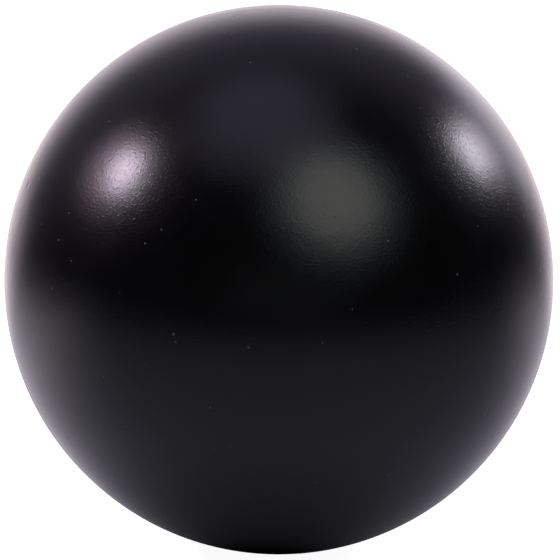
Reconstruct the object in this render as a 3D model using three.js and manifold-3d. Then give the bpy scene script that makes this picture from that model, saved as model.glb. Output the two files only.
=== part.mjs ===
// A case opening friction ball: the soft, tacky ball that a watchmaker presses on a
// screwed case back and turns by hand. Millimetres, +Z up. The origin is the centre of the
// ball, which is moulded in two halves that meet on the plane y = 0, and the pour hole lies
// on that plane at the bottom, closed by a plug whose face is trimmed flat.

import * as THREE from 'three';
import { mergeVertices } from 'three/addons/utils/BufferGeometryUtils.js';
import Module from 'manifold-3d';

const wasm = await Module();
wasm.setup();

// Driving dimensions.
const ballDiameter = 65;
const skinThickness = 1.2;
const gateDiameter = 8;        // the plug's trimmed face
const plugLength = 4.8;        // from the trimmed face to the plug's inner end
const plugTaper = 0.5;         // how much narrower the plug's radius is at its inner end

// Gaps that keep neighbouring solids apart.
const seamGap = 0.1;           // between the two halves of the skin
const foamGap = 0.2;           // between the foam and what it touches
const holeGap = 0.15;          // between the plug and the hole's edge in the skin

// Facets.
const skinSegments = 64;
const coreSegments = 48;
const plugSegments = 48;
const outerArcSteps = 16;      // from a pole of a half skin to its rim
const innerArcSteps = 10;
const coreArcSteps = 24;       // from the mouth of the plug's pocket to the top of the foam

// Worked out from the dimensions above.
const ballRadius = ballDiameter / 2;
const skinInnerRadius = ballRadius - skinThickness;
const foamRadius = skinInnerRadius - foamGap;
const gateRadius = gateDiameter / 2;
const trimmedFaceZ = -Math.sqrt(ballRadius ** 2 - gateRadius ** 2);
const taperStartZ = trimmedFaceZ + skinThickness;
const plugInnerZ = trimmedFaceZ + plugLength;
const plugInnerRadius = gateRadius - plugTaper;

// Points on a circle about the origin, at angles in radians counted from the radius axis.
function arc(radius, fromAngle, toAngle, steps) {
  return Array.from({ length: steps + 1 }, (_, i) => {
    const angle = fromAngle + ((toAngle - fromAngle) * i) / steps;
    return new THREE.Vector2(radius * Math.cos(angle), radius * Math.sin(angle));
  });
}

// Puts an exact zero radius at the end of a profile that lies on the axis.
function onAxis(height) {
  return new THREE.Vector2(0, height);
}

// A profile of (radius, height) points turned about Z, with height along Z.
function turnedAboutZ(profile, segments) {
  return new THREE.LatheGeometry(profile, segments).rotateX(Math.PI / 2);
}

// A geometry's closed solid: shared corners are merged, and the faces that shrink to a line
// at a pole are left out.
function solidFrom(geometry) {
  const bare = geometry.clone();
  bare.deleteAttribute('normal');
  bare.deleteAttribute('uv');
  const merged = mergeVertices(bare, 1e-4);
  const corners = merged.index.array;
  const faces = [];
  for (let i = 0; i < corners.length; i += 3) {
    const [a, b, c] = corners.slice(i, i + 3);
    if (a !== b && b !== c && c !== a) faces.push(a, b, c);
  }
  return new wasm.Manifold(new wasm.Mesh({
    numProp: 3,
    vertProperties: Float32Array.from(merged.attributes.position.array),
    triVerts: Uint32Array.from(faces),
  }));
}

function geometryFrom(solid) {
  const mesh = solid.getMesh();
  const geometry = new THREE.BufferGeometry();
  geometry.setAttribute('position', new THREE.BufferAttribute(mesh.vertProperties, 3));
  geometry.setIndex(new THREE.BufferAttribute(mesh.triVerts, 1));
  geometry.computeVertexNormals();
  return geometry;
}

// The half of the skin on the -Y side: a bowl turned about Y, whose rim stops half the seam
// gap short of y = 0, with the pour hole cut through its lowest edge.
function halfSkin() {
  const pole = -Math.PI / 2;
  const outer = arc(ballRadius, pole, -Math.asin(seamGap / 2 / ballRadius), outerArcSteps);
  const inner = arc(skinInnerRadius, -Math.asin(seamGap / 2 / skinInnerRadius), pole,
    innerArcSteps);
  const profile = [
    onAxis(-ballRadius), ...outer.slice(1),
    ...inner.slice(0, -1), onAxis(-skinInnerRadius),
  ];
  const bowl = solidFrom(new THREE.LatheGeometry(profile, skinSegments));
  const hole = new THREE.CylinderGeometry(
    gateRadius + holeGap, gateRadius + holeGap, ballRadius, plugSegments);
  hole.rotateX(Math.PI / 2).translate(0, 0, -ballRadius);
  return geometryFrom(bowl.subtract(solidFrom(hole)));
}

// The foam that fills the skin: a ball with a tapered pocket for the plug at the bottom.
function foamCore() {
  const pocketRadius = gateRadius + foamGap;
  const pocketInnerRadius = plugInnerRadius + foamGap;
  const pocketInnerZ = plugInnerZ + foamGap;
  const mouth = -Math.acos(pocketRadius / foamRadius);
  const ball = arc(foamRadius, mouth, Math.PI / 2, coreArcSteps);
  return turnedAboutZ([
    onAxis(pocketInnerZ),
    new THREE.Vector2(pocketInnerRadius, pocketInnerZ),
    ...ball.slice(0, -1),
    onAxis(foamRadius),
  ], coreSegments);
}

// The plug: straight through the skin, then tapered into the foam. Its lower face is flat,
// where the surplus was cut away level with the ball.
function gatePlug() {
  return turnedAboutZ([
    onAxis(trimmedFaceZ),
    new THREE.Vector2(gateRadius, trimmedFaceZ),
    new THREE.Vector2(gateRadius, taperStartZ),
    new THREE.Vector2(plugInnerRadius, plugInnerZ),
    onAxis(plugInnerZ),
  ], plugSegments);
}

function piece(name, geometry, finish) {
  const mesh = new THREE.Mesh(geometry, new THREE.MeshStandardMaterial(finish));
  mesh.name = name;
  return mesh;
}

const skinFinish = { color: 0x0d0d10, roughness: 0.42, metalness: 0 };
const foamFinish = { color: 0x2b2b2e, roughness: 0.95, metalness: 0 };
const plugFinish = { color: 0x141416, roughness: 0.7, metalness: 0 };

const frontSkin = piece('front_skin', halfSkin(), skinFinish);
const rearSkin = piece('rear_skin', halfSkin(), skinFinish);
rearSkin.rotation.z = Math.PI;

const group = new THREE.Group();
group.add(
  frontSkin,
  rearSkin,
  piece('foam_core', foamCore(), foamFinish),
  piece('gate_plug', gatePlug(), plugFinish),
);

export default group;
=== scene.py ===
# %% [markdown]
# # A case opening friction ball
# A watchmaker presses this soft, tacky ball on the screwed back of a watch and turns it by
# hand. Its black skin is formed in a two-part mould, dark foam fills it, and the pour hole at
# the bottom is closed by a plug that is cut off flat. We build each of those pieces as a
# surface worked out with numpy, give each a finish from shader nodes, and light the ball like
# a small object on a studio table. Every length is in metres.

# %% The fixed frame
import math

import bpy
import numpy as np
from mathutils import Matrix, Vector


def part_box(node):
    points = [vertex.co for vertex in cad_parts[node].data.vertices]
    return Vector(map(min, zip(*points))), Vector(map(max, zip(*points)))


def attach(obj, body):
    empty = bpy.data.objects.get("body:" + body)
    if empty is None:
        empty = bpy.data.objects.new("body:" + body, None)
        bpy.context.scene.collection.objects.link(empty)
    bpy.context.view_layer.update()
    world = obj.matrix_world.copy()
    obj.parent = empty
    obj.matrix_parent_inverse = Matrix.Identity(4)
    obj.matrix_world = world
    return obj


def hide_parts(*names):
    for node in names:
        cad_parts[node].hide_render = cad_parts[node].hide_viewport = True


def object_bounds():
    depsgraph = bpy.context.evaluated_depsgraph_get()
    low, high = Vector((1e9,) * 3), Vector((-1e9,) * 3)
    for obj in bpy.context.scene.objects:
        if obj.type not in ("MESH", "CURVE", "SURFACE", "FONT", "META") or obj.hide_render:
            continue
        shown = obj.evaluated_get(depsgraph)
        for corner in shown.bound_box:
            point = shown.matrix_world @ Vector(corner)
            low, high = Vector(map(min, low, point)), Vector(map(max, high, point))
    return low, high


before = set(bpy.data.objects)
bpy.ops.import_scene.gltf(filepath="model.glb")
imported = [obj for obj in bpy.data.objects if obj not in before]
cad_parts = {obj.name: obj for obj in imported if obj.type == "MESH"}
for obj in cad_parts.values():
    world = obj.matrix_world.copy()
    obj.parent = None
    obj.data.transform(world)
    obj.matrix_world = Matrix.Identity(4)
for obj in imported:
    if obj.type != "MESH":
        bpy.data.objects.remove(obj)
cad_low, cad_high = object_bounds()
MM = 0.001
MICRON = 0.001 * MM
BALL_RADIUS = (cad_high.x - cad_low.x) / 2
gate_low, gate_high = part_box("gate_plug")
foam_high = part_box("foam_core")[1]
FLAT_Z = gate_low.z
GATE_RADIUS = (gate_high.x - gate_low.x) / 2
FOAM_RADIUS = foam_high.z
SKIN_THICKNESS = 1.2 * MM
SKIN_INNER_RADIUS = BALL_RADIUS - SKIN_THICKNESS
print(f"ball {2 * BALL_RADIUS / MM:.1f} mm, foam {2 * FOAM_RADIUS / MM:.1f} mm across,")
print(f"trimmed face {2 * GATE_RADIUS / MM:.1f} mm across at z {FLAT_Z / MM:.2f} mm")

# %% [markdown]
# ## The camera
# A long lens from well back flattens the perspective, so the ball fills the picture as a true
# circle. The camera looks slightly down, as someone standing at a bench does. The distance is
# chosen first, and the focal length follows from how much of the picture the ball fills: seen
# from a distance D, a ball's outline stands at the angle asin(radius / D) from its centre.

# %% The camera
CAMERA_ELEVATION = math.radians(13)
CAMERA_DISTANCE = 0.60
PICTURE = 560                 # the picture's side, in the renderer's units
BALL_IN_PICTURE = 274.9       # the outline's radius in those units
OFF_CENTRE = (-1.1, 0.44)     # how far the ball sits right of and above the middle

camera_data = bpy.data.cameras.new("bench_camera")
camera = bpy.data.objects.new("bench_camera", camera_data)
bpy.context.scene.collection.objects.link(camera)
bpy.context.scene.camera = camera
toward_camera = Vector((0, -math.cos(CAMERA_ELEVATION), math.sin(CAMERA_ELEVATION)))
camera.location = toward_camera * CAMERA_DISTANCE
camera.rotation_mode = "QUATERNION"
camera.rotation_quaternion = toward_camera.to_track_quat("Z", "Y")
outline_slope = math.tan(math.asin(BALL_RADIUS / CAMERA_DISTANCE))
camera_data.lens = BALL_IN_PICTURE / outline_slope * camera_data.sensor_width / PICTURE
camera_data.shift_x = -OFF_CENTRE[0] / PICTURE
camera_data.shift_y = -OFF_CENTRE[1] / PICTURE
camera_data.clip_start = 0.01
camera_data.clip_end = 20
print(f"lens {camera_data.lens:.0f} mm from {CAMERA_DISTANCE} m")

# %% [markdown]
# ## Helpers for shader nodes
# A shader tree is a sum of small steps, and written out node by node it is hard to read. These
# helpers each add one node and hand back its output, so that a tree reads like the formula it
# works out.

# %% A direction from two angles
def direction(azimuth, elevation):
    """Unit vector at an azimuth in degrees, 0 along +Y and 90 along +X, and an elevation."""
    a, e = math.radians(azimuth), math.radians(elevation)
    return Vector((math.sin(a) * math.cos(e), math.cos(a) * math.cos(e), math.sin(e)))


print("azimuth 90, elevation 0 is", tuple(round(c, 3) for c in direction(90, 0)))

# %% Nodes and plain arithmetic
def set_input(tree, socket, value):
    """Links a socket to a socket, or gives it a plain value."""
    if isinstance(value, bpy.types.NodeSocket):
        tree.links.new(value, socket)
    else:
        socket.default_value = value


def add_node(tree, kind, settings=None, **inputs):
    """Adds a node. settings are its own properties; inputs are values or sockets by name."""
    node = tree.nodes.new(kind)
    for name, value in (settings or {}).items():
        setattr(node, name, value)
    for name, value in inputs.items():
        set_input(tree, node.inputs[name.replace("_", " ")], value)
    return node


def maths(tree, operation, *values):
    """A Math node's output for one, two or three values or sockets."""
    node = add_node(tree, "ShaderNodeMath", {"operation": operation})
    for socket, value in zip(node.inputs, values):
        set_input(tree, socket, value)
    return node.outputs[0]


def vector_maths(tree, operation, *values):
    """A Vector Math node for one or two vectors: its value or its vector, as it gives."""
    node = add_node(tree, "ShaderNodeVectorMath", {"operation": operation})
    for socket, value in zip(node.inputs, values):
        set_input(tree, socket, value)
    gives_value = operation in ("DOT_PRODUCT", "LENGTH", "DISTANCE")
    return node.outputs["Value" if gives_value else "Vector"]


print("helpers:", ", ".join(f.__name__ for f in (set_input, add_node, maths, vector_maths)))

# %% Colours and soft steps
WHITE = (1.0, 1.0, 1.0, 1.0)


def colour_mix(tree, amount, first, second):
    """A colour between first and second by an amount from 0 to 1."""
    node = add_node(tree, "ShaderNodeMix", {"data_type": "RGBA"}, Factor=amount)
    first_colour, second_colour, mixed = node.inputs[6], node.inputs[7], node.outputs[2]
    set_input(tree, first_colour, first)
    set_input(tree, second_colour, second)
    return mixed


def smooth_range(tree, value, low, high, to_low=0.0, to_high=1.0):
    """value mapped from low..high to to_low..to_high along a smooth step, and held outside."""
    node = add_node(
        tree, "ShaderNodeMapRange", {"interpolation_type": "SMOOTHSTEP"},
        Value=value, From_Min=low, From_Max=high, To_Min=to_low, To_Max=to_high,
    )
    return node.outputs["Result"]


def tinted(tree, amount, colour):
    """A colour times a value, as a vector."""
    node = add_node(tree, "ShaderNodeVectorMath", {"operation": "SCALE"}, Scale=amount)
    set_input(tree, node.inputs[0], colour)
    return node.outputs["Vector"]


def cap(tree, looking, azimuth, elevation, full, end):
    """1 within the angle full of a direction, falling to 0 at the angle end from it."""
    dot = vector_maths(tree, "DOT_PRODUCT", looking, direction(azimuth, elevation))
    return smooth_range(tree, dot, math.cos(math.radians(end)), math.cos(math.radians(full)))


print("helpers:", ", ".join(f.__name__ for f in (colour_mix, smooth_range, tinted, cap)))

# %% [markdown]
# ## The light
# A black satin ball shows little colour of its own: what we see is the room mirrored in it,
# blurred by the skin. So the light is the larger part of the picture. The set is a pale
# sheet under the ball, a bright backdrop behind it, two flash heads at the left and right, a
# soft round light at the front right and a dim ceiling. Between them the room is black, and
# that black shows as the dark belt round the ball.
#
# The wide, soft parts are drawn in the world shader as functions of direction, because they
# have no edge that could get in a camera's way. Each is a cap of the sky: the dot product of
# the direction with the cap's axis, turned into a smooth step from its rim to its middle.
# The camera itself sees plain white instead, through a Light Path node.

# %% The world: backdrop, ceiling and a dark room
# Each cap: azimuth, elevation, angle of full light, angle where it ends, red, green, blue.
SKY_CAPS = [
    (-1, -4, 0, 44, (1.20, 1.04, 1.13)),        # the backdrop
    (-4, 23, 0, 74, (0.25, 0.23, 0.315)),       # its glow, up the wall
    (23, -1, 0, 20, (0.50, 0.49, 0.48)),        # where the right flash spills on it
    (35, 12, 0, 14, (0.80, 0.75, 0.92)),        # and beside it
    (-139, 80, 0, 33, (0.49, 0.46, 0.64)),      # the ceiling
    (-78, 32.6, 0, 14, (2.4, 1.70, 2.2)),       # the left flash's soft edge
    (50, 20.4, 0, 10, (4.0, 3.6, 4.0)),         # the right flash's soft edge
    (148.5, 44, 0, 31, (0.78, 0.88, 0.93)),     # the round light's halo
    (180, -15, 8, 47, (0.085, 0.090, 0.092)),   # the room behind the camera
]

world = bpy.data.worlds.new("studio")
bpy.context.scene.world = world
world.use_nodes = True
sky = world.node_tree
sky.nodes.clear()
looking = sky.nodes.new("ShaderNodeTexCoord").outputs["Generated"]
glow = (0.0, 0.0, 0.0)
for *where, colour in SKY_CAPS:
    glow = vector_maths(sky, "ADD", tinted(sky, cap(sky, looking, *where), colour), glow)
lit = add_node(sky, "ShaderNodeBackground", Color=glow, Strength=1.0)
plain = add_node(sky, "ShaderNodeBackground", Color=WHITE, Strength=1.0)
either = sky.nodes.new("ShaderNodeMixShader")
sky.links.new(sky.nodes.new("ShaderNodeLightPath").outputs["Is Camera Ray"], either.inputs[0])
sky.links.new(lit.outputs[0], either.inputs[1])
sky.links.new(plain.outputs[0], either.inputs[2])
sky.links.new(either.outputs[0], sky.nodes.new("ShaderNodeOutputWorld").inputs[0])
print(f"{len(SKY_CAPS)} soft caps in the world shader")

# %% [markdown]
# ## The lamps
# The flash heads are the bright, small parts of the light, so they are lamps, which Blender
# aims its rays at; a spot as small as theirs in the world shader would come out grainy. A
# disk-shaped area light mirrors as a round spot. We choose how bright its face is and work
# the watts out from that.

# %% The flash heads and the round front light
# Each lamp: name, azimuth, elevation, half its angle across, red, green, blue of its face.
LAMPS = [
    ("flash_left", -88.4, 35.5, 6.2, (28.6, 24.0, 29.0)),
    ("flash_right", 60.3, 25.4, 6.3, (10.9, 10.4, 11.8)),
    ("round_front", 148.5, 44.0, 16.7, (1.00, 0.90, 0.80)),
]
LAMP_DISTANCE = 3.0


def lamp(name, azimuth, elevation, half_angle, colour):
    """A round area light that faces the ball and isn't itself seen by the camera. Its watts
    are those of an even emitter: the brightness of its face, times pi, times its area."""
    radius = LAMP_DISTANCE * math.tan(math.radians(half_angle))
    data = bpy.data.lights.new(name, "AREA")
    data.shape = "DISK"
    data.size = 2 * radius
    data.color = [c / max(colour) for c in colour]
    data.energy = max(colour) * math.pi * (math.pi * radius**2)
    light = bpy.data.objects.new(name, data)
    bpy.context.scene.collection.objects.link(light)
    towards = direction(azimuth, elevation)
    light.location = towards * LAMP_DISTANCE
    light.rotation_mode = "QUATERNION"
    light.rotation_quaternion = towards.to_track_quat("Z", "Y")
    light.visible_camera = False


for settings in LAMPS:
    lamp(*settings)
print(f"{len(LAMPS)} lamps")

# %% [markdown]
# ## The floor
# The sheet under the ball is plain and pale. To the camera it is bright enough to pass for
# pure white, with a faint shadow where the ball meets it. What the ball mirrors is the same
# sheet with the light's fall over it: bright towards the backdrop, dim in front, dark in the
# narrow ring that the ball itself shades, and lost in the dark room a forearm's length away.
# Behind the ball the sheet curves up into the backdrop, so there it stays bright. That curve
# could be modelled, but it would hide the ball from a camera behind it, so the floor is flat
# and a shader draws the light that the curve would send. A Light Path node picks between the
# sheet that the camera sees and the one that the ball mirrors. The sheet glows, but Blender
# doesn't aim at it as at a lamp: rays that the skin mirrors find it by themselves, and more
# rays are left for the flash heads.

# %% The light of the sheet, as the ball mirrors it
SHEET_FRONT = (0.29, 0.29, 0.37, 1.0)
SHEET_BACK = (1.05, 0.97, 1.12, 1.0)
SWEEP = (1.75, 1.50, 1.60)               # the sheet where it curves up, behind the ball
BRIGHT_SIDE = -12                        # the azimuth that the sheet is brightest towards
DIM_UNTIL, BRIGHT_FROM = -0.033, 0.055   # along that azimuth
SHADE_MIDDLE = (-0.001, -0.006, 0.0)     # the round patch that the ball shades
SHADE_IN, SHADE_OUT = 0.003, 0.038
NEAR, MIDDLE, FAR = 0.035, 0.29, 1.0     # the sheet fades from NEAR on, and ends at FAR
LEFT_AT_MIDDLE = 0.16
SWEEP_SIDE, SWEEP_HALF_ANGLE = -2, 51
SWEEP_STARTS, SWEEP_FULL = 0.06, 0.18


def mirrored_sheet(tree, place):
    """The light of the sheet as the ball mirrors it, at a place on the floor: the sheet's
    colour along the bright side, times the shade under the ball, times the fall with distance,
    plus the sweep, a cap of azimuths that rises with distance."""
    along = vector_maths(tree, "DOT_PRODUCT", place, direction(BRIGHT_SIDE, 0))
    towards = smooth_range(tree, along, DIM_UNTIL, BRIGHT_FROM)
    sheet = colour_mix(tree, towards, SHEET_FRONT, SHEET_BACK)
    flat = vector_maths(tree, "MULTIPLY", place, (1, 1, 0))
    away = vector_maths(tree, "LENGTH", flat)
    from_shade = vector_maths(tree, "DISTANCE", flat, SHADE_MIDDLE)
    shade = smooth_range(tree, from_shade, SHADE_IN, SHADE_OUT)
    fade = smooth_range(tree, away, NEAR, MIDDLE, 1.0, LEFT_AT_MIDDLE)
    end = smooth_range(tree, away, MIDDLE, FAR, 1.0, 0.0)
    near_light = maths(tree, "MULTIPLY", maths(tree, "MULTIPLY", shade, fade), end)
    outwards = vector_maths(tree, "NORMALIZE", flat)
    behind = cap(tree, outwards, SWEEP_SIDE, 0, 0, SWEEP_HALF_ANGLE)
    rise = maths(tree, "MULTIPLY", behind, smooth_range(tree, away, SWEEP_STARTS, SWEEP_FULL))
    return vector_maths(
        tree, "ADD", tinted(tree, near_light, sheet), tinted(tree, rise, SWEEP)
    )


print(f"the sheet fades from {NEAR} m to {FAR} m, and its sweep starts at {SWEEP_STARTS} m")

# %% The floor's material
SHEET_PAINT = (0.9, 0.9, 0.9, 1.0)
SHEET_GLOW = 0.94                      # lifts the sheet to white for the camera


def floor_material():
    """A pale sheet for the camera, and the light of mirrored_sheet for every other ray."""
    material = bpy.data.materials.new("pale_sheet")
    material.use_nodes = True
    tree = material.node_tree
    tree.nodes.clear()
    place = tree.nodes.new("ShaderNodeTexCoord").outputs["Object"]
    mirrored = add_node(
        tree, "ShaderNodeEmission", Color=mirrored_sheet(tree, place), Strength=1.0
    )
    seen = add_node(tree, "ShaderNodeBsdfDiffuse", Color=SHEET_PAINT)
    glowing = add_node(tree, "ShaderNodeEmission", Color=WHITE, Strength=SHEET_GLOW)
    bright = tree.nodes.new("ShaderNodeAddShader")
    tree.links.new(seen.outputs[0], bright.inputs[0])
    tree.links.new(glowing.outputs[0], bright.inputs[1])
    choose = tree.nodes.new("ShaderNodeMixShader")
    camera_ray = tree.nodes.new("ShaderNodeLightPath").outputs["Is Camera Ray"]
    tree.links.new(camera_ray, choose.inputs[0])
    tree.links.new(mirrored.outputs[0], choose.inputs[1])
    tree.links.new(bright.outputs[0], choose.inputs[2])
    tree.links.new(choose.outputs[0], tree.nodes.new("ShaderNodeOutputMaterial").inputs[0])
    material.cycles.emission_sampling = "NONE"
    return material


sheet_finish = floor_material()
print(f"{sheet_finish.name}: {len(sheet_finish.node_tree.nodes)} nodes")

# %% The floor
FLOOR_HALF_SIZE = 6.0

floor_mesh = bpy.data.meshes.new("floor")
side = FLOOR_HALF_SIZE
floor_mesh.from_pydata(
    [(-side, -side, FLAT_Z), (side, -side, FLAT_Z), (side, side, FLAT_Z), (-side, side, FLAT_Z)],
    [], [(0, 1, 2, 3)],
)
floor = bpy.data.objects.new("floor", floor_mesh)
bpy.context.scene.collection.objects.link(floor)
floor_mesh.materials.append(sheet_finish)
bpy.context.scene.view_settings.view_transform = "Standard"
print("floor at z", round(FLAT_Z / MM, 3), "mm")

# %% [markdown]
# ## The surface of a moulded skin
# The skin is not a perfect sphere. Cooling and handling pull it about a hundredth of a
# millimetre out of round, and the coating dries with a faint orange peel. A noise texture
# could push the points about, but random waves can be added up for all the points at once:
# each wave is a cosine of the position along a random direction, and a few dozen of them with
# wavelengths in one band make an even, seamless ripple with no pattern.

# %% Random ripples
SEED = 65


def ripples(seed, shortest, longest, count=40):
    """Returns height(points): the sum of count cosines cos(k.p + phase), with random
    directions and wavelengths from shortest to longest, scaled so that its typical size is
    one."""
    random = np.random.default_rng(seed)
    ways = random.normal(size=(count, 3))
    ways /= np.linalg.norm(ways, axis=1)[:, None]
    lengths = shortest * (longest / shortest) ** random.random(count)
    waves = ways * (2 * np.pi / lengths)[:, None]
    phases = random.random(count) * 2 * np.pi

    def height(points):
        """The height of the ripples at an array of points."""
        return np.cos(points @ waves.T + phases).sum(1) * math.sqrt(2 / count)

    return height


out_of_round = ripples(SEED, 14 * MM, 60 * MM)
orange_peel = ripples(SEED + 1, 1.5 * MM, 4.0 * MM, 60)
trim_unevenness = ripples(SEED + 2, 1.2 * MM, 9.0 * MM)
print("ripples made: the ball's roundness, its orange peel and the trim of its parting line")

# %% [markdown]
# ## The parting line
# Where the two mould halves met, a thin web of skin was squeezed out and trimmed. What is
# left is the trace of a ridge with a hairline down its middle. It could be a strip of its
# own, but it is skin and runs out into the skin on both sides, so it is a part of the skin's
# height: a bell curve of the distance from the parting plane, less a narrower bell for the
# hairline. It comes and goes along its length as a hand trim does. Round the plug the skin
# dips into a shallow lip.

# %% The skin's height above the sphere
ROUND_SIZE = 10 * MICRON
PEEL_SIZE = 1.3 * MICRON
RIDGE_HEIGHT, RIDGE_WIDTH = 8 * MICRON, 0.16 * MM
HAIRLINE_DEPTH, HAIRLINE_WIDTH = 8 * MICRON, 0.035 * MM
LIP_DEPTH, LIP_WIDTH = 60 * MICRON, 0.22 * MM
TRIM_MIDDLE, TRIM_SWING = 0.75, 0.35   # the ridge's share of its height, and how it varies
TRIM_LEAST, TRIM_MOST = 0.25, 1.4
HOLE_GAP = 0.06 * MM
HOLE_RADIUS = GATE_RADIUS + HOLE_GAP


def skin_height(points):
    """Height above the sphere at points on it: out-of-round and peel ripples, plus the
    ridge, less the hairline, both bell curves of the distance |y| from the parting plane,
    less the lip, a bell curve of the distance from the edge of the plug's hole."""
    height = ROUND_SIZE * out_of_round(points) + PEEL_SIZE * orange_peel(points)
    from_seam = np.abs(points[:, 1])
    trim = np.clip(TRIM_MIDDLE + TRIM_SWING * trim_unevenness(points), TRIM_LEAST, TRIM_MOST)
    height += RIDGE_HEIGHT * trim * np.exp(-((from_seam / RIDGE_WIDTH) ** 2))
    height -= HAIRLINE_DEPTH * np.exp(-((from_seam / HAIRLINE_WIDTH) ** 2))
    from_axis = np.hypot(points[:, 0], points[:, 1])
    from_hole = np.where(points[:, 2] < 0, from_axis - HOLE_RADIUS, BALL_RADIUS)
    height -= LIP_DEPTH * np.exp(-((from_hole / LIP_WIDTH) ** 2))
    return height


SAMPLE_POINTS = 4000
sample = np.random.default_rng(SEED).normal(size=(SAMPLE_POINTS, 3))
sample *= BALL_RADIUS / np.linalg.norm(sample, axis=1)[:, None]
print(f"skin stands {skin_height(sample).max() / MM:.3f} mm proud at most in a random sample")

# %% [markdown]
# ## From a grid to a closed mesh
# Every piece of the ball is a grid of points that wraps round an axis, row by row from one
# pole to the other. For a half of the skin that is over the outside, round the rim and back
# along the inside. A ready-made sphere would have to be cut and stitched; here the first and
# the last row shrink to single points, so the mesh is closed without any merging.

# %% A closed mesh from rows of points
def closed_mesh(name, rows):
    """A mesh from an array of rows of points (row, column, xyz). Columns wrap round, and the
    first and last rows are poles. Quads run between rows, and a fan closes each pole."""
    count, columns = rows.shape[0], rows.shape[1]
    ring = rows[1:-1].reshape(-1, 3)
    points = np.vstack([rows[0, 0], ring, rows[-1, 0]])
    column = np.arange(columns)
    after = (column + 1) % columns
    starts = 1 + columns * np.arange(count - 3)[:, None]
    quads = np.stack(
        [starts + column, starts + columns + column, starts + columns + after, starts + after],
        axis=-1,
    ).reshape(-1, 4)
    last = 1 + columns * (count - 3)
    first_fan = np.stack([np.zeros(columns, int), 1 + column, 1 + after], axis=-1)
    last_fan = np.stack([last + column, np.full(columns, len(points) - 1), last + after], axis=-1)
    corners = np.concatenate([first_fan.ravel(), quads.ravel(), last_fan.ravel()])
    sizes = np.concatenate([np.full(columns, 3), np.full(len(quads), 4), np.full(columns, 3)])
    mesh = bpy.data.meshes.new(name)
    mesh.vertices.add(len(points))
    mesh.vertices.foreach_set("co", points.astype(np.float32).ravel())
    mesh.loops.add(len(corners))
    mesh.loops.foreach_set("vertex_index", corners.astype(np.int32))
    mesh.polygons.add(len(sizes))
    begins = np.concatenate([[0], np.cumsum(sizes)[:-1]])
    mesh.polygons.foreach_set("loop_start", begins.astype(np.int32))
    mesh.polygons.foreach_set("use_smooth", np.ones(len(sizes), bool))
    mesh.update(calc_edges=True)
    mesh.validate()
    return mesh


def add_piece(name, mesh, material, node, slot):
    """Puts a mesh in the scene as a piece that stands for a CAD node. A polygon of n corners
    counts as n - 2 triangles."""
    piece = bpy.data.objects.new(name, mesh)
    bpy.context.scene.collection.objects.link(piece)
    mesh.materials.append(material)
    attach(piece, "root")
    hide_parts(node)
    print(f"{name}: {sum(len(p.vertices) - 2 for p in mesh.polygons)} triangles")
    return piece


print("helpers:", ", ".join(f.__name__ for f in (closed_mesh, add_piece)))

# %% [markdown]
# ## Finishes
# The ball's finish is made of a few effects: grain, smudges, dust and pinholes. Each could be
# painted, but a ball has no flat layout to paint on that isn't torn or squeezed somewhere, so
# they are patterns in space that the surface cuts through. Each is a node group: a box with
# named inputs and outputs that is built once and placed with its own values. A group gives
# out only a mask or a height; the shader stays in the material.

# %% Making and placing a node group
FLOAT, VECTOR = "NodeSocketFloat", "NodeSocketVector"


def new_group(name, inputs, outputs):
    """A shader node group with float or vector sockets, and its input and output nodes."""
    group = bpy.data.node_groups.new(name, "ShaderNodeTree")
    for label, kind, value in inputs:
        socket = group.interface.new_socket(label, in_out="INPUT", socket_type=kind)
        if value is not None:
            socket.default_value = value
    for label in outputs:
        group.interface.new_socket(label, in_out="OUTPUT", socket_type="NodeSocketFloat")
    given = group.nodes.new("NodeGroupInput").outputs
    return group, given, group.nodes.new("NodeGroupOutput").inputs


def use_group(tree, group, **inputs):
    """Places a node group in a material's tree and sets or links its inputs."""
    node = tree.nodes.new("ShaderNodeGroup")
    node.node_tree = group
    for name, value in inputs.items():
        set_input(tree, node.inputs[name], value)
    return node.outputs[0]


def say_group(group):
    """Prints a node group's name and its inputs."""
    names = [item.name for item in group.interface.items_tree if item.in_out == "INPUT"]
    print(f"node group {group.name}: {', '.join(names)}")


print("helpers:", ", ".join(f.__name__ for f in (new_group, use_group, say_group)))

# %% [markdown]
# ## Grain
# The coated skin has a fine, leathery grain of short bent strokes, and the cut plug a finer
# one, so both use this group. Noise that is warped by itself gives the strokes. Its distance
# from its middle value, added to it, puts a crease between one stroke and the next, which
# plain noise doesn't have.

# %% The grain group
CREASE = 1.2                           # how strongly the creases count beside the strokes


def grain_group():
    """Height of the grain: noise n, plus CREASE times |n - 0.5|."""
    group, given, result = new_group(
        "grain",
        [("Vector", VECTOR, None), ("Pitch", FLOAT, 0.28 * MM), ("Warp", FLOAT, 0.7)],
        ["Height"],
    )
    per_metre = maths(group, "DIVIDE", 1.0, given["Pitch"])
    strokes = add_node(
        group, "ShaderNodeTexNoise", {},
        Vector=given["Vector"], Scale=per_metre, Detail=0.4, Roughness=0.5,
        Distortion=given["Warp"],
    )
    from_middle = maths(group, "ABSOLUTE", maths(group, "SUBTRACT", strokes.outputs[0], 0.5))
    creases = maths(group, "MULTIPLY_ADD", from_middle, CREASE, strokes.outputs[0])
    group.links.new(creases, result["Height"])
    return group


GRAIN = grain_group()
say_group(GRAIN)

# %% [markdown]
# ## Smudges
# Hands leave broad soft patches on the skin, a touch paler and duller than the rest. One layer
# of noise gives their outlines, and a share of a finer layer frays them.

# %% The smudge group
BROAD_PER_METRE, SMALL_PER_METRE = 70.0, 420.0
SMALL_SHARE = 0.35
SMUDGE_FROM, SMUDGE_FULL = 0.45, 0.95


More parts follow.
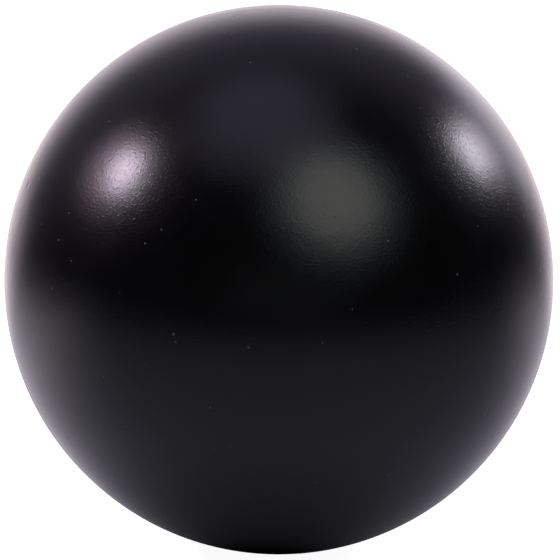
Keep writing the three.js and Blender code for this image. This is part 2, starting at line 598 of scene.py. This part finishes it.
def smudge_group():
    """Amount of smudge: broad noise plus a share of finer noise, through a smooth step."""
    group, given, result = new_group("smudges", [("Vector", VECTOR, None)], ["Amount"])
    broad = add_node(
        group, "ShaderNodeTexNoise", {},
        Vector=given["Vector"], Scale=BROAD_PER_METRE, Detail=3.0, Roughness=0.55,
        Distortion=0.4,
    )
    small = add_node(
        group, "ShaderNodeTexNoise", {},
        Vector=given["Vector"], Scale=SMALL_PER_METRE, Detail=2.0, Roughness=0.6,
        Distortion=0.0,
    )
    both = maths(group, "MULTIPLY_ADD", small.outputs[0], SMALL_SHARE, broad.outputs[0])
    group.links.new(smooth_range(group, both, SMUDGE_FROM, SMUDGE_FULL), result["Amount"])
    return group


SMUDGES = smudge_group()
say_group(SMUDGES)

# %% [markdown]
# ## Specks
# A tacky skin picks up grains of dust, and it has a few pinholes where air lay against the
# mould. Both are small round dots, far apart and placed by chance, so one group makes both.
# Noise would give blots. A Voronoi pattern gives each point its distance from the middle of
# its cell, which is a round dot, and a random colour for the cell, which decides whether the
# cell has a dot and how large it is.

# %% The speck group
DOT_EDGE = 0.02                        # softness of a dot's edge, as a share of its cell


def speck_group():
    """Mask of dots: a cell is chosen where its random red is below Share, and its dot has a
    radius of Radius to twice Radius cells by its random green."""
    group, given, result = new_group(
        "specks",
        [("Vector", VECTOR, None), ("Cell", FLOAT, 2.0 * MM), ("Share", FLOAT, 0.5),
         ("Radius", FLOAT, 0.042)],
        ["Mask"],
    )
    cells = add_node(
        group, "ShaderNodeTexVoronoi", {"feature": "F1"},
        Vector=given["Vector"], Scale=maths(group, "DIVIDE", 1.0, given["Cell"]), Randomness=1.0,
    )
    chance = group.nodes.new("ShaderNodeSeparateColor")
    group.links.new(cells.outputs["Color"], chance.inputs[0])
    size = maths(group, "MULTIPLY_ADD", chance.outputs["Green"], given["Radius"], given["Radius"])
    inside = maths(group, "SUBTRACT", size, cells.outputs["Distance"])
    dot = smooth_range(group, inside, 0.0, DOT_EDGE)
    chosen = maths(group, "LESS_THAN", chance.outputs["Red"], given["Share"])
    group.links.new(maths(group, "MULTIPLY", dot, chosen), result["Mask"])
    return group


SPECKS = speck_group()
say_group(SPECKS)

# %% [markdown]
# ## The skin's material
# Near black, and satin: a tight enough shine to show each lamp as a soft spot. The grain and
# the pinholes tilt the surface through a Bump node, smudges change the roughness by a little,
# and dust is paler and duller than the skin it lies on. The grain stands a little higher
# towards +X, as on a coat that dried unevenly. The ball has been used, so three nicks are
# added at chosen places: each is a smooth step of the distance from its middle.
#
# All of these heights go through one Bump node, whose Distance is the height of the grain. The
# heights of dust, pinholes and nicks are given in that unit. They could be real dents, but the
# mesh would need points a few hundredths of a millimetre apart.

# %% The skin's material
SKIN_DARK = (0.0018, 0.0018, 0.0022, 1.0)
SKIN_SMUDGED = (0.0034, 0.0033, 0.0040, 1.0)
DUST = (0.10, 0.095, 0.09, 1.0)
SATIN, SMUDGE_ROUGHER, DUST_ROUGHER = 0.226, 0.03, 0.5
GRAIN_PITCH, GRAIN_WARP, GRAIN_HEIGHT = 0.28 * MM, 0.7, 9.0 * MICRON
COARSER, COARSER_FROM, COARSER_AT = 1.4, 11 * MM, 21 * MM
DUST_STANDS, PIT_DEPTH = 3.0, 8.0
DUST_CELL, DUST_SHARE, DUST_RADIUS = 2.0 * MM, 0.5, 0.042
PIT_CELL, PIT_SHARE, PIT_RADIUS = 5.2 * MM, 0.5, 0.016
NICK_FLOOR = 0.3                       # the flat bottom's share of a nick's radius
# Each nick: azimuth, elevation, radius.
NICKS = [(-102.1, 23.1, 0.55 * MM), (128, -21, 0.3 * MM), (20, 40, 0.35 * MM)]


def new_material(name):
    """A material with only its Principled shader, that shader and the object coordinates."""
    material = bpy.data.materials.new(name)
    material.use_nodes = True
    tree = material.node_tree
    shader = tree.nodes["Principled BSDF"]
    return material, tree, shader, tree.nodes.new("ShaderNodeTexCoord").outputs["Object"]


def skin_material():
    """Satin black. Smudges and dust vary its colour and roughness; grain, dust, pinholes and
    nicks make its height."""
    material, tree, shader, place = new_material("coated_skin")
    grain = use_group(tree, GRAIN, Vector=place, Pitch=GRAIN_PITCH, Warp=GRAIN_WARP)
    smudges = use_group(tree, SMUDGES, Vector=place)
    dust = use_group(
        tree, SPECKS, Vector=place, Cell=DUST_CELL, Share=DUST_SHARE, Radius=DUST_RADIUS
    )
    pits = use_group(
        tree, SPECKS, Vector=place, Cell=PIT_CELL, Share=PIT_SHARE, Radius=PIT_RADIUS
    )
    skin = colour_mix(tree, smudges, SKIN_DARK, SKIN_SMUDGED)
    tree.links.new(colour_mix(tree, dust, skin, DUST), shader.inputs["Base Color"])
    satin = maths(tree, "MULTIPLY_ADD", smudges, SMUDGE_ROUGHER, SATIN)
    rough = maths(tree, "MULTIPLY_ADD", dust, DUST_ROUGHER, satin)
    tree.links.new(rough, shader.inputs["Roughness"])
    sideways = add_node(tree, "ShaderNodeSeparateXYZ", {}, Vector=place).outputs["X"]
    coarser = smooth_range(tree, sideways, COARSER_FROM, COARSER_AT, 1.0, COARSER)
    strokes = maths(tree, "MULTIPLY", grain, coarser)
    raised = maths(tree, "MULTIPLY_ADD", dust, DUST_STANDS, strokes)
    for azimuth, elevation, radius in NICKS:
        middle = direction(azimuth, elevation) * BALL_RADIUS
        from_nick = vector_maths(tree, "DISTANCE", place, middle)
        nick = smooth_range(tree, from_nick, radius, NICK_FLOOR * radius)
        pits = maths(tree, "ADD", pits, nick)
    height = maths(tree, "MULTIPLY_ADD", pits, -PIT_DEPTH, raised)
    bump = add_node(tree, "ShaderNodeBump", {}, Strength=1.0, Distance=GRAIN_HEIGHT, Height=height)
    tree.links.new(bump.outputs[0], shader.inputs["Normal"])
    return material


skin_finish = skin_material()
print(f"{skin_finish.name}: {len(skin_finish.node_tree.nodes)} nodes, {len(NICKS)} nicks")

# %% [markdown]
# ## The two halves of the skin
# Each half is a bowl whose pole faces away from the other half. Its two parameters are the
# angle t from that pole and the angle p round it, counted from the bottom of the ball. The
# rows of t crowd together near the rim, where the ridge is narrow. Below, the plug's hole
# takes a half-round bite out of the rim: a point at (t, p) lies at the angle acos(sin t cos p)
# from the bottom, so the rim stops where sin t = cos(hole) / cos p. A ball could also be cut
# and drilled with Booleans, but they leave slivers along the cuts, which show in the gloss.

# %% The columns of a half skin
HOLE_COLUMNS, COLUMNS = 48, 560


def column_angles():
    """Angles p round the pole: cosine-spaced across the hole, so that its rim is finely
    divided at both ends, and even over the rest."""
    half = math.asin(HOLE_RADIUS / BALL_RADIUS)
    bite = -half * np.cos(np.pi * np.arange(HOLE_COLUMNS) / HOLE_COLUMNS)
    rest = np.linspace(half, 2 * np.pi - half, COLUMNS - HOLE_COLUMNS, endpoint=False)
    return np.concatenate([bite, rest])


print(f"{COLUMNS} columns, {HOLE_COLUMNS} of them across the hole")

# %% The rows of a half skin
OUTER_ROWS, RIM_ROWS, INNER_ROWS = 118, 16, 18
RIM_BAND = math.radians(1.6)           # the crowded band next to the rim
HAIRLINE_GAP = 3 * MICRON


def half_skin_rows(facing):
    """Rows of points of a half skin, out to the rim and back inside. A point is the radius
    times (-f sin t sin p, f cos t, -sin t cos p), where f is facing: -1 for the front and +1
    for the rear, which is the front turned half a turn about Z."""
    p = column_angles()
    hole = math.cos(math.asin(HOLE_RADIUS / BALL_RADIUS))
    # Clear of the hole this is arcsin(1), which puts the rim on the parting plane.
    rim = np.arcsin(hole / np.maximum(np.cos(p), hole)) - HAIRLINE_GAP / BALL_RADIUS
    main = np.linspace(0, 1, OUTER_ROWS)[:, None] * (rim - RIM_BAND)
    crowd = 1 - (1 - np.linspace(0, 1, RIM_ROWS + 1)[1:]) ** 2
    outer = np.vstack([main, (rim - RIM_BAND) + RIM_BAND * crowd[:, None]])
    inner = np.linspace(1, 0, INNER_ROWS)[:, None] * rim

    def on_sphere(t, radius):
        """Points at the angles t and p on a sphere."""
        around = np.stack(
            [facing * -np.sin(t) * np.sin(p), facing * np.cos(t), -np.sin(t) * np.cos(p)], -1
        )
        return radius * around

    outside = on_sphere(outer, BALL_RADIUS)
    flat = outside.reshape(-1, 3)
    risen = flat * (1 + skin_height(flat) / BALL_RADIUS)[:, None]
    inside = on_sphere(inner, SKIN_INNER_RADIUS)
    return np.concatenate([risen.reshape(outside.shape), inside])


print(f"{OUTER_ROWS + RIM_ROWS} rows outside and {INNER_ROWS} inside")

# %% The two halves of the skin
for name, node, facing in (("front_half", "front_skin", -1), ("rear_half", "rear_skin", 1)):
    mesh = closed_mesh(name, half_skin_rows(facing))
    add_piece(name + "_of_skin", mesh, skin_finish, node, "skin")

# %% [markdown]
# ## The foam inside
# The core is flexible foam: a mass of small bubbles whose outer ones have burst against the
# skin. It doesn't show on the whole ball, but it does when the ball is taken apart, so it is
# made like the rest. The bubbles could be scattered one by one. Instead a ripple field is cut
# in wherever it stands above zero, which gives rounded pits close together, and it only cuts
# inwards, so the foam stays clear of the skin.

# %% A profile turned about Z
def turned_rows(radii, heights, columns):
    """Rows of points of a profile of (radius, height) turned about Z."""
    p = 2 * np.pi * np.arange(columns) / columns
    x = radii[:, None] * np.cos(p)
    y = radii[:, None] * np.sin(p)
    return np.stack([x, y, np.broadcast_to(heights[:, None], x.shape)], -1)


print("3 points turned to 4 columns:", turned_rows(np.ones(3), np.arange(3), 4).shape)

# %% The shape of the foam core
CORE_COLUMNS, CORE_ROWS, POCKET_ROWS, POCKET_END_ROWS = 360, 190, 16, 6
POCKET_GAP = 0.2 * MM
PLUG_TAPER = 0.5 * MM
CELL_DEPTH = 0.14 * MM
CELL_BAND = 0.3 * MM                   # cells are cut only this near to the core's outside
FINE_CELLS, DEEPEST = 0.6, 2.0         # weight of the fine ripples, and where a pit bottoms
cells_coarse = ripples(SEED + 3, 1.6 * MM, 2.6 * MM, 60)
cells_fine = ripples(SEED + 4, 0.9 * MM, 1.4 * MM, 60)


def foam_rows():
    """The core's profile: the pocket's end, its tapering wall, then the ball up to the top.
    A burst cell pulls a point inwards by CELL_DEPTH times the ripples where they are above
    zero, as a share of DEEPEST."""
    mouth_radius = GATE_RADIUS + POCKET_GAP
    end_radius = mouth_radius - PLUG_TAPER
    end_z = gate_high.z + POCKET_GAP
    mouth_z = -math.sqrt(FOAM_RADIUS**2 - mouth_radius**2)
    end = np.linspace(0, end_radius, POCKET_END_ROWS)
    wall = np.linspace(0, 1, POCKET_ROWS)[1:]
    angle = np.linspace(math.asin(mouth_z / FOAM_RADIUS), np.pi / 2, CORE_ROWS)[1:]
    radii = np.concatenate(
        [end, end_radius + PLUG_TAPER * wall, FOAM_RADIUS * np.cos(angle[:-1]), [0.0]]
    )
    heights = np.concatenate(
        [np.full(len(end), end_z), end_z + (mouth_z - end_z) * wall, FOAM_RADIUS * np.sin(angle)]
    )
    rows = turned_rows(radii, heights, CORE_COLUMNS)
    flat = rows.reshape(-1, 3)
    hollow = np.clip(cells_coarse(flat) + FINE_CELLS * cells_fine(flat), 0, DEEPEST) / DEEPEST
    outside = np.linalg.norm(flat, axis=1) > FOAM_RADIUS - CELL_BAND
    flat = flat * (1 - outside * CELL_DEPTH * hollow / FOAM_RADIUS)[:, None]
    return flat.reshape(rows.shape)


print(f"burst cells up to {CELL_DEPTH / MM:.2f} mm deep")

# %% [markdown]
# ## The foam's finish
# Foam is matt. Bubbles half a millimetre across would be too many to model. The distance from
# the middle of a Voronoi cell gives the walls, and the same value sets the colour, the roughness
# and the height. A cell's middle is a hollow, and its colour is darker there: painted shade in
# the hollow, fading to paler walls.

# %% The foam's material
FOAM_CELL = 0.55 * MM
WALL_FROM, WALL_FULL = 0.05, 0.55      # distances from a cell's middle, in cells
# the colour in a cell's hollow middle, darkened as painted shade
FOAM_HOLLOW_SHADE = (0.020, 0.020, 0.022, 1.0)
FOAM_PALE = (0.055, 0.055, 0.060, 1.0)
FOAM_ROUGH, FOAM_ROUGHER = 0.84, 0.12
FOAM_RELIEF = 0.08 * MM


def foam_material():
    """Matt dark foam: a Voronoi cell is dark in its hollow middle, as painted shade, and pale at
    its walls.
    """
    material, tree, shader, place = new_material("burst_foam")
    cells = add_node(
        tree, "ShaderNodeTexVoronoi", {"feature": "F1"}, Vector=place, Scale=1 / FOAM_CELL
    )
    wall = smooth_range(tree, cells.outputs["Distance"], WALL_FROM, WALL_FULL)
    # darker towards each cell's hollow middle: painted shade
    tree.links.new(colour_mix(tree, wall, FOAM_HOLLOW_SHADE, FOAM_PALE), shader.inputs["Base Color"])
    rough = maths(tree, "MULTIPLY_ADD", wall, FOAM_ROUGHER, FOAM_ROUGH)
    tree.links.new(rough, shader.inputs["Roughness"])
    bump = add_node(tree, "ShaderNodeBump", {}, Strength=1.0, Distance=FOAM_RELIEF, Height=wall)
    tree.links.new(bump.outputs[0], shader.inputs["Normal"])
    return material


foam_finish = foam_material()
print(f"{foam_finish.name}: {len(foam_finish.node_tree.nodes)} nodes")

# %% The foam core
core_mesh = closed_mesh("foam_filling", foam_rows())
core = add_piece("foam_filling", core_mesh, foam_finish, "foam_core", "foam")

# %% [markdown]
# ## The plug
# The plug seals the hole that the foam was poured through. Its outer end is sliced off level
# with the ball, which leaves the flat that the ball rests on, duller than the skin and marked
# by the blade in one direction. Its inner end tapers into the foam. A cylinder with bevels
# would do for the outline, but one profile turned about Z also gives the face its own rows,
# and they carry the marks.

# %% The shape of the plug
PLUG_COLUMNS = 160
PLUG_EDGE = 0.08 * MM
INNER_EDGE = 0.3 * MM                  # the rounding of the plug's inner end
TAPER_START = FLAT_Z + SKIN_THICKNESS
FACE_ROWS, EDGE_ROWS, SIDE_ROWS, TAPER_ROWS, END_ROWS = 40, 5, 3, 9, 8
CUT_DEPTH = 6 * MICRON
CUT_STRETCH = np.array([0.05, 1, 1])   # cut marks are twenty times as long along X
cut_marks = ripples(SEED + 5, 0.25 * MM, 0.9 * MM, 30)


def plug_rows():
    """The plug's profile: the cut face, a small rounded edge, straight through the skin, then
    a taper to the rounded inner end. Cut marks run along X, and only cut inwards."""
    face = np.linspace(0, GATE_RADIUS - PLUG_EDGE, FACE_ROWS)
    turn = np.linspace(0, np.pi / 2, EDGE_ROWS + 1)[1:]
    taper = np.linspace(0, 1, TAPER_ROWS + 1)[1:]
    inner_radius = GATE_RADIUS - PLUG_TAPER
    edge_z, shoulder_z, top = FLAT_Z + PLUG_EDGE, gate_high.z - INNER_EDGE, gate_high.z
    radii = np.concatenate([
        face, GATE_RADIUS - PLUG_EDGE + PLUG_EDGE * np.sin(turn),
        np.full(SIDE_ROWS, GATE_RADIUS), GATE_RADIUS - PLUG_TAPER * taper,
        inner_radius - INNER_EDGE * (1 - np.cos(turn)),
        np.linspace(inner_radius - INNER_EDGE, 0, END_ROWS + 1)[1:],
    ])
    heights = np.concatenate([
        np.full(FACE_ROWS, FLAT_Z), FLAT_Z + PLUG_EDGE * (1 - np.cos(turn)),
        np.linspace(edge_z, TAPER_START, SIDE_ROWS + 1)[1:],
        TAPER_START + (shoulder_z - TAPER_START) * taper,
        shoulder_z + INNER_EDGE * np.sin(turn), np.full(END_ROWS, top),
    ])
    rows = turned_rows(radii, heights, PLUG_COLUMNS)
    marks = cut_marks(rows.reshape(-1, 3) * CUT_STRETCH).reshape(rows.shape[:2])
    rows[:FACE_ROWS, :, 2] += CUT_DEPTH * np.clip(marks[:FACE_ROWS], 0, None)
    rows[0] = rows[0, 0]
    return rows


print(f"plug {(gate_high.z - FLAT_Z) / MM:.1f} mm long, {FACE_ROWS} rows across its face")

# %% [markdown]
# ## The plug's finish
# The blade also leaves scratches too fine for the mesh. An image of scratches would repeat or
# blur, so they are noise stretched along X, which gives scratches of uneven length. The grain
# of the skin lies over them, with strokes closer together.

# %% The plug's material
BLADE_STRETCH = (0.08, 1.0, 1.0)       # the fine marks run along X as the cut ones do
BLADE_PER_METRE = 9000.0
PLUG_DARK = (0.004, 0.004, 0.0045, 1.0)
PLUG_PALE = (0.014, 0.014, 0.015, 1.0)
PLUG_ROUGH, PLUG_ROUGHER = 0.52, 0.12
PLUG_PITCH, PLUG_WARP, PLUG_RELIEF = 0.18 * MM, 0.3, 8 * MICRON


def plug_material():
    """Dull black: noise stretched along X for the blade's marks, plus the shared grain."""
    material, tree, shader, place = new_material("cut_plug")
    stretch = add_node(tree, "ShaderNodeMapping", {}, Vector=place, Scale=BLADE_STRETCH)
    marks = add_node(
        tree, "ShaderNodeTexNoise", {},
        Vector=stretch.outputs[0], Scale=BLADE_PER_METRE, Detail=3.0, Roughness=0.6,
    ).outputs[0]
    grain = use_group(tree, GRAIN, Vector=place, Pitch=PLUG_PITCH, Warp=PLUG_WARP)
    tree.links.new(colour_mix(tree, marks, PLUG_DARK, PLUG_PALE), shader.inputs["Base Color"])
    rough = maths(tree, "MULTIPLY_ADD", grain, PLUG_ROUGHER, PLUG_ROUGH)
    tree.links.new(rough, shader.inputs["Roughness"])
    height = maths(tree, "ADD", marks, grain)
    bump = add_node(tree, "ShaderNodeBump", {}, Strength=1.0, Distance=PLUG_RELIEF, Height=height)
    tree.links.new(bump.outputs[0], shader.inputs["Normal"])
    return material


plug_finish = plug_material()
print(f"{plug_finish.name}: {len(plug_finish.node_tree.nodes)} nodes")

# %% The plug
plug_mesh = closed_mesh("pour_hole_plug", plug_rows())
add_piece("pour_hole_plug", plug_mesh, plug_finish, "gate_plug", "plug")
